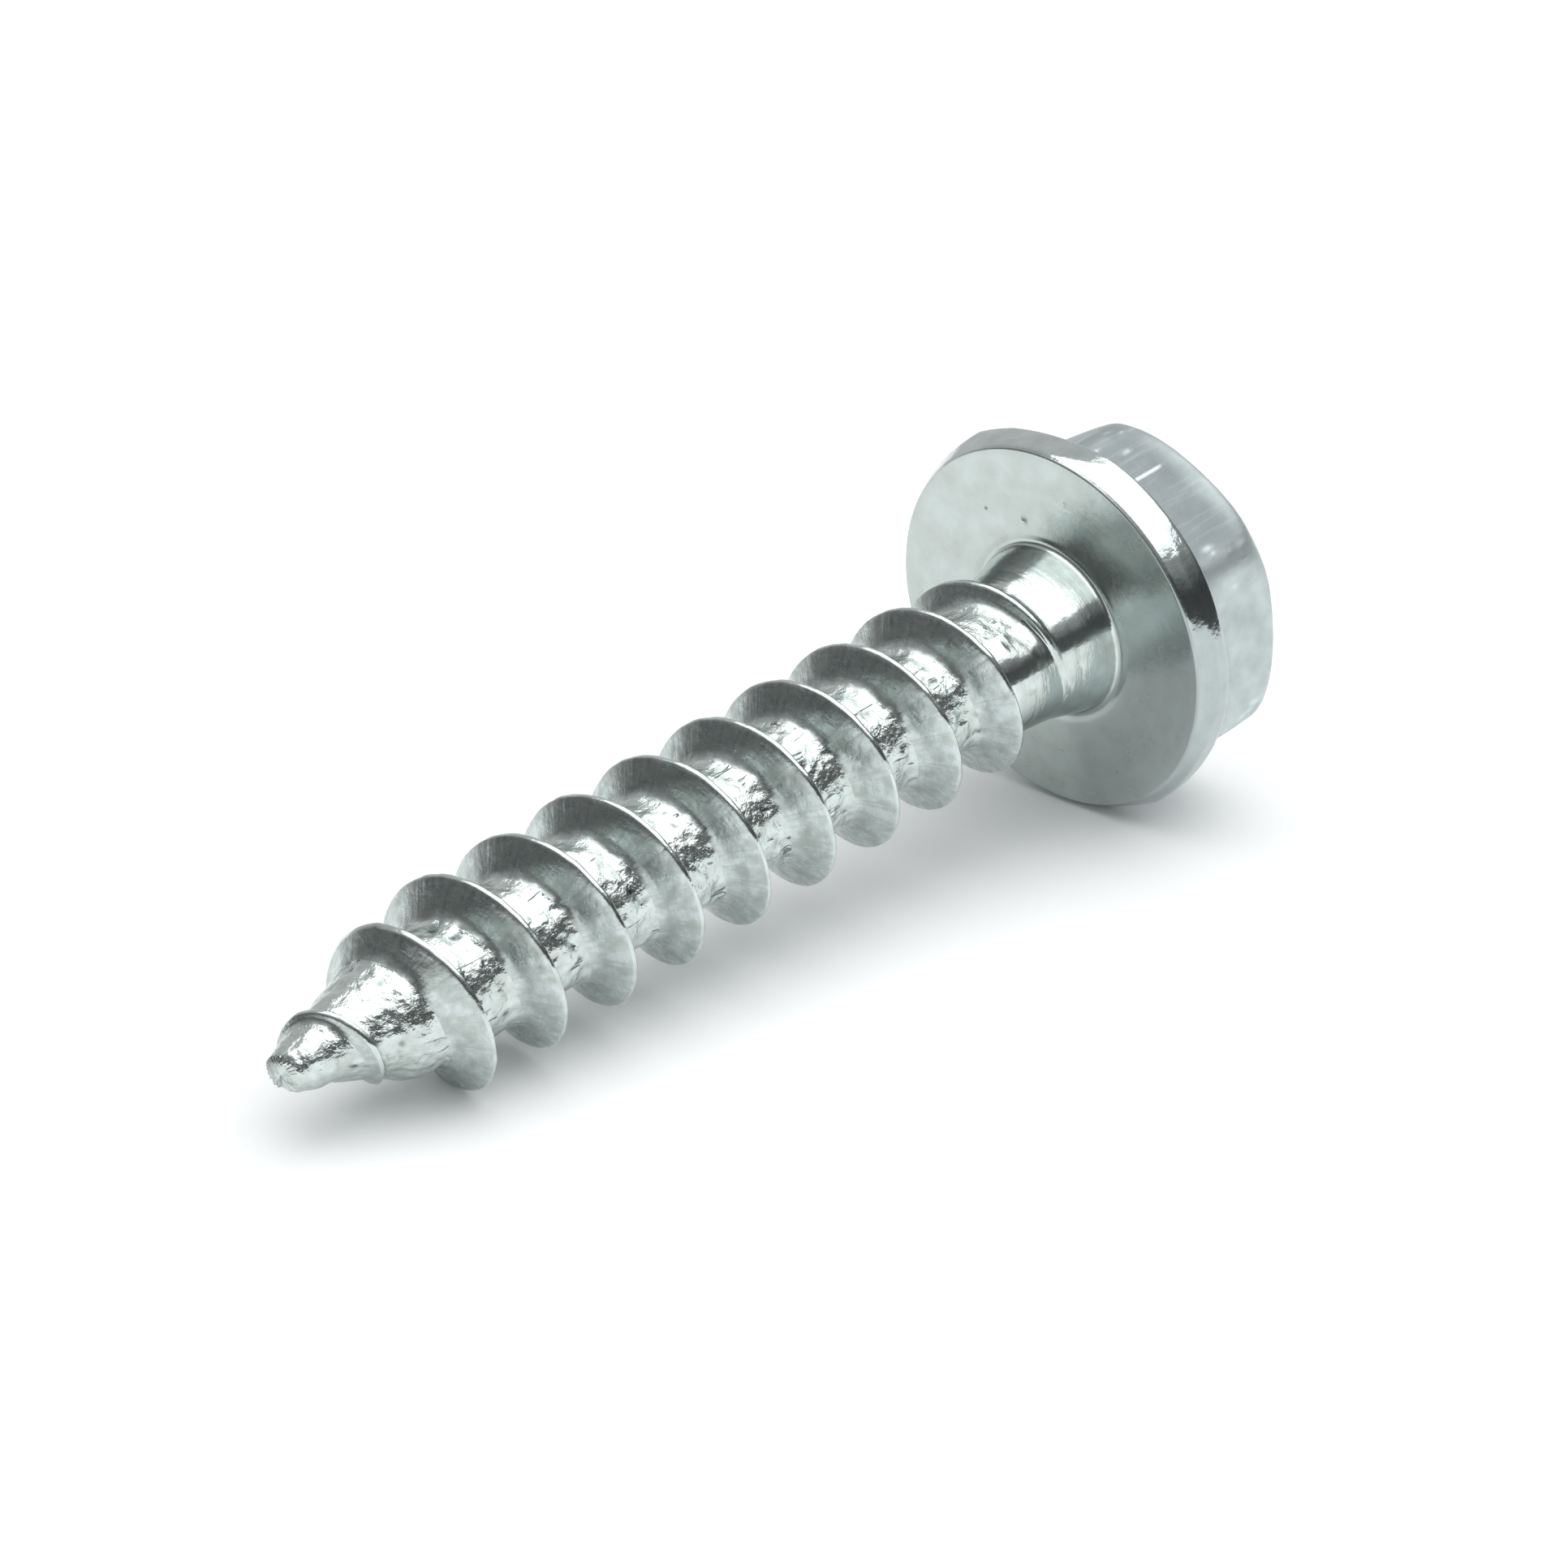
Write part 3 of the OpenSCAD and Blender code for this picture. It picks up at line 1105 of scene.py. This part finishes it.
    def roughen(self, points: np.ndarray, places: np.ndarray, zones: List[Finish], turn: np.ndarray
                ) -> Tuple[np.ndarray, np.ndarray, np.ndarray]:
        """Adds the relief, pits and nicks of a formed and tumbled head, and a raised line on a hex face
        that is painted bright as a highlight.

        Args:
            points: Half section, place along it, radius and height.
            places: The same points in millimetres about the axis.
            zones: Finish at each place in the section.
            turn: Angle of each half section.

        Returns:
            The moved points, the relief at each, whose low parts the finishes paint dark as shade, and at
            each the mark of worn nicks and of the painted highlight line.
        """
        grain = Grain(self.relief_seed)
        wide, fine = (grain.at(places + off, cell) for cell, off, _ in self.lumps)
        depth = np.array([self.RELIEF[z] for z in zones])[None, :]
        move = (self.lumps[0][-1] * wide + self.lumps[1][-1] * fine) * depth
        # Relief mark for the finishes, which paint its lowest parts dark as shade.
        relief = self.fine_shade * fine
        wear_and_highlight = np.zeros(relief.shape)

        is_bearing = in_zones(zones, Finish.BEARING)
        outside = smooth_step((points[..., 0] - self.ring_step_r) / self.ring_step_run)
        move -= is_bearing * self.ring_step * outside
        for x, y, w, d in self.pits:
            gap = np.hypot(places[..., 0] - x, places[..., 1] - y) / w
            pit = np.exp(-gap ** 2) * is_bearing
            move -= d * pit
            # Painted shade in the pit.
            relief -= self.pit_dark * pit

        is_hex = in_zones(zones, Finish.HEX)
        # Painted highlight: a thin raised line on a hex face gets the bright worn colour.
        angle, start, stop = self.highlight_line
        off = (turn[:, None] - math.radians(angle) + math.pi) % (2 * math.pi) - math.pi
        height = -points[..., 1]
        ends = smooth_step((height - start) / self.highlight_line_end)
        ends = ends * smooth_step((stop - height) / self.highlight_line_end)
        mark = np.exp(-(off * points[..., 0] / self.highlight_line_wide) ** 2) * ends * is_hex
        move += self.highlight_line_high * mark
        wear_and_highlight = np.maximum(wear_and_highlight, mark)

        rng = np.random.default_rng(self.nick_seed)
        for corner in range(self.SIDES):
            for _ in range(self.nicks):
                at = math.radians(360 / self.SIDES * corner + rng.normal(0, self.nick_spread))
                spans = (self.nick_heights, self.nick_wide, self.nick_deep)
                z, w, d = (rng.uniform(*span) for span in spans)
                gap = (turn[:, None] - at + math.pi) % (2 * math.pi) - math.pi
                along = (height - z) / (w * self.nick_long)
                nick = np.exp(-((gap * self.nick_r / w) ** 2 + along ** 2)) * is_hex
                move -= d * nick
                wear_and_highlight = np.maximum(wear_and_highlight, self.nick_wear * nick)
        return points + section_normals(points) * move[..., None], np.clip(relief, -1, 1), wear_and_highlight

    def build(self) -> bpy.types.Object:
        """Builds the head.

        Returns:
            The piece.
        """
        turn = 2 * math.pi * np.arange(self.columns) / self.columns
        drawn = self.profile(turn)
        points, zones = drawn.points(), drawn.zones
        points, relief, wear_and_highlight = self.roughen(points, turned(points, turn), zones, turn)
        shifted = smooth_step((-points[..., 1] - self.off_from) / self.off_run)[..., None]
        places = turned(points, turn) + shifted * np.array([*self.off_axis, 0.0])
        n, k = points.shape[:2]
        pole = np.array([[*self.off_axis, points[:, -1, 1].mean()]])
        number = np.arange(n * k).reshape(n, k)
        after = np.roll(number, -1, axis=0)
        quads = np.stack([number[:, :-1], number[:, 1:], after[:, 1:], after[:, :-1]], axis=-1)
        faces: List[Tuple[int, ...]] = [tuple(q) for j in range(k - 1) for q in quads[:, j].tolist()]
        face_zones = [zones[j] for j in range(k - 1) for _ in range(n)]
        faces += [(a, n * k, b) for a, b in zip(number[:, -1].tolist(), after[:, -1].tolist())]
        face_zones += [Finish.TOP] * n
        # Painted shade: each hex face gets its own darkening, which fades out towards the rounded top edge.
        step = 360 / self.SIDES
        pair = (self.face_shade_edge, step - self.face_shade_edge)
        edges = [step * i + edge for i in range(self.SIDES) for edge in pair]
        face_shade_levels = np.interp(np.degrees(turn), edges, np.repeat(self.face_shades, 2), period=360)
        below_top = (self.head_h + points[..., 1]) / self.ease
        painted_shade = face_shade_levels[:, None] * smooth_step(below_top) * in_zones(zones, Finish.HEX)
        # Painted reflection: a darker sector on the bearing face and rim, standing in for the shadowed
        # floor that it reflects.
        off = np.abs((np.degrees(turn) - self.painted_reflection_turn + 180) % 360 - 180)
        painted_reflection = self.painted_reflection_share * smooth_step((self.painted_reflection_half - off) / self.painted_reflection_soft)
        painted_shade += painted_reflection[:, None] * in_zones(zones, Finish.BEARING, Finish.RIM)
        marks = {
            "relief": np.append(relief.ravel(), 0),
            "wear_and_highlight": np.append(wear_and_highlight.ravel(), 0),
            "painted_shade": np.append(painted_shade.ravel(), 0),
        }
        all_places = np.concatenate([places.reshape(-1, 3), pole])
        return self.make("flanged_head", all_places, faces, face_zones, marks)


@dataclass
class Studio:
    """The pale floor, the soft light and the cards in metres, and the camera in the screw's own frame."""

    floor_side: float = 1.6
    floor_colour: Colour = (0.938, 0.953, 0.957)
    lamp_place: Tuple[float, float, float] = (0.07, -0.115, 0.35)
    lamp_sides: Tuple[float, float] = (0.62, 0.62)
    lamp_power: float = 1.7
    fill: float = 0.56
    tent_r: float = 0.7
    tent_stops: Tuple[Tuple[float, float], ...] = (
        (0.0, 0.4), (0.03, 0.1), (0.3, 0.07), (0.5, 0.3), (0.75, 0.46), (1.0, 0.5))
    sweep_way: Tuple[float, float] = (0.6, 0.8)
    tent_rows: int = 24
    tent_columns: int = 48
    tent_open: float = 0.02
    tent_tint: Colour = (1.0, 1.01, 1.02)
    sweep_level: float = 0.6
    sweep_edge: Tuple[float, float] = (0.3, 0.75)
    eye: Tuple[float, float, float] = (58.92, -76.88, 81.34)
    look: Tuple[float, float, float] = (-0.4876, 0.6365, -0.5975)
    side: Tuple[float, float, float] = (-0.0913, -0.7173, -0.6902)
    lens: float = 121.46
    sensor: float = 36.0
    clip: Tuple[float, float] = (0.001, 10.0)

    def floor(self) -> bpy.types.Object:
        """Builds the floor.

        Returns:
            The floor.
        """
        mesh = bpy.data.meshes.new("floor")
        h = self.floor_side / 2
        mesh.from_pydata([(-h, -h, 0), (h, -h, 0), (h, h, 0), (-h, h, 0)], [], [(0, 1, 2, 3)])
        made, bench, surface = start_material("pale_floor")
        skin = bench.add("ShaderNodeBsdfDiffuse", {"Color": (*self.floor_colour, 1.0)})
        bench.join(skin.outputs[0], surface)
        mesh.materials.append(made)
        piece = link_object("floor", mesh)
        return piece

    def tent(self) -> bpy.types.Object:
        """Builds the cards round the set, which only the metal's reflections show.

        Returns:
            The tent.
        """
        places: List[Tuple[float, float, float]] = []
        for rise in np.linspace(0.0, math.pi / 2 - self.tent_open, self.tent_rows):
            out, up = self.tent_r * math.cos(rise), self.tent_r * math.sin(rise)
            for turn in np.linspace(0, 2 * math.pi, self.tent_columns, endpoint=False):
                places.append((out * math.cos(turn), out * math.sin(turn), up))
        number = np.arange(len(places)).reshape(self.tent_rows, self.tent_columns)
        after = np.roll(number, -1, axis=1)
        quads = np.stack([number[:-1], number[1:], after[1:], after[:-1]], axis=-1)
        mesh = bpy.data.meshes.new("tent")
        mesh.from_pydata(places, [], quads.reshape(-1, 4).tolist())
        made, bench, surface = start_material("studio_cards")
        glow = bench.add("ShaderNodeEmission")
        coords = bench.add("ShaderNodeTexCoord")
        parts = bench.add("ShaderNodeSeparateXYZ")
        bench.join(coords.outputs["Object"], parts.inputs[0])
        ramp = bench.add("ShaderNodeValToRGB")
        stops = ramp.color_ramp.elements
        while len(stops) < len(self.tent_stops):
            stops.new(0.5)
        for stop, (place, level) in zip(stops, self.tent_stops):
            stop.position = place
            stop.color = (*(level * part for part in self.tent_tint), 1.0)
        bench.join(bench.math("DIVIDE", parts.outputs["Z"], self.tent_r), ramp.inputs[0])
        ahead = bench.math("MULTIPLY", parts.outputs["X"], self.sweep_way[0] / self.tent_r)
        beside = bench.math("MULTIPLY", parts.outputs["Y"], self.sweep_way[1] / self.tent_r)
        behind = bench.spread(bench.math("ADD", ahead, beside), self.sweep_edge, (0.0, 1.0))
        shown = bench.tint(behind, ramp.outputs["Color"], (self.sweep_level,) * 3)
        bench.join(shown, glow.inputs["Color"])
        bench.join(glow.outputs[0], surface)
        mesh.materials.append(made)
        piece = link_object("tent", mesh)
        piece.visible_camera = False
        piece.visible_diffuse = False
        piece.visible_shadow = False
        piece.visible_transmission = False
        return piece

    def lamp(self) -> bpy.types.Object:
        """Hangs the soft lamp.

        Returns:
            The lamp.
        """
        data = bpy.data.lights.new("soft_lamp", "AREA")
        data.shape = "RECTANGLE"
        data.size, data.size_y = self.lamp_sides
        data.energy = self.lamp_power
        piece = link_object("soft_lamp", data)
        piece.location = self.lamp_place
        return piece

    def world(self) -> None:
        """Fills the set with even light, and shows white where a ray leaves it."""
        world = bpy.data.worlds.new("studio")
        world.use_nodes = True
        bpy.context.scene.world = world
        bench = NodeBench(world.node_tree)
        out = bench.add("ShaderNodeOutputWorld")
        even = bench.add("ShaderNodeBackground", {"Color": (1, 1, 1, 1), "Strength": self.fill})
        white = bench.add("ShaderNodeBackground", {"Color": (1, 1, 1, 1), "Strength": 1.0})
        path = bench.add("ShaderNodeLightPath")
        seen = bench.math("MAXIMUM", path.outputs["Is Camera Ray"], path.outputs["Is Glossy Ray"])
        seen = bench.math("MAXIMUM", seen, path.outputs["Is Transmission Ray"])
        mix = bench.add("ShaderNodeMixShader")
        bench.join(seen, mix.inputs[0])
        bench.join(even.outputs[0], mix.inputs[1])
        bench.join(white.outputs[0], mix.inputs[2])
        bench.join(mix.outputs[0], out.inputs["Surface"])

    def camera(self) -> bpy.types.Object:
        """Places the camera at the photograph's view.

        Returns:
            The camera.
        """
        data = bpy.data.cameras.new("camera")
        data.sensor_width = self.sensor
        data.lens = self.lens
        data.clip_start, data.clip_end = self.clip
        piece = link_object("camera", data)
        lay = ScrewPiece.lay
        back = -Vector(lay.ways(np.array(self.look))).normalized()
        side = Vector(lay.ways(np.array(self.side)))
        side = (side - back * side.dot(back)).normalized()
        turn = Matrix((side, back.cross(side), back)).transposed()
        piece.matrix_world = Matrix.Translation(Vector(lay.places(np.array(self.eye)))) @ turn.to_4x4()
        bpy.context.scene.camera = piece
        return piece

    def build(self) -> None:
        """Builds the whole set."""
        self.camera()
        self.floor()
        self.tent()
        self.lamp()
        self.world()
        bpy.context.scene.view_settings.view_transform = "Standard"


def main() -> None:
    """Builds the set and the screw's pieces in order."""
    logging.basicConfig(level=logging.INFO, format="%(name)s: %(message)s")
    Studio().build()
    LOG.info("studio: floor, lamp and camera are in place")
    ThreadedShank().build()
    FlangedHead().build()


if __name__ == "__main__":
    main()
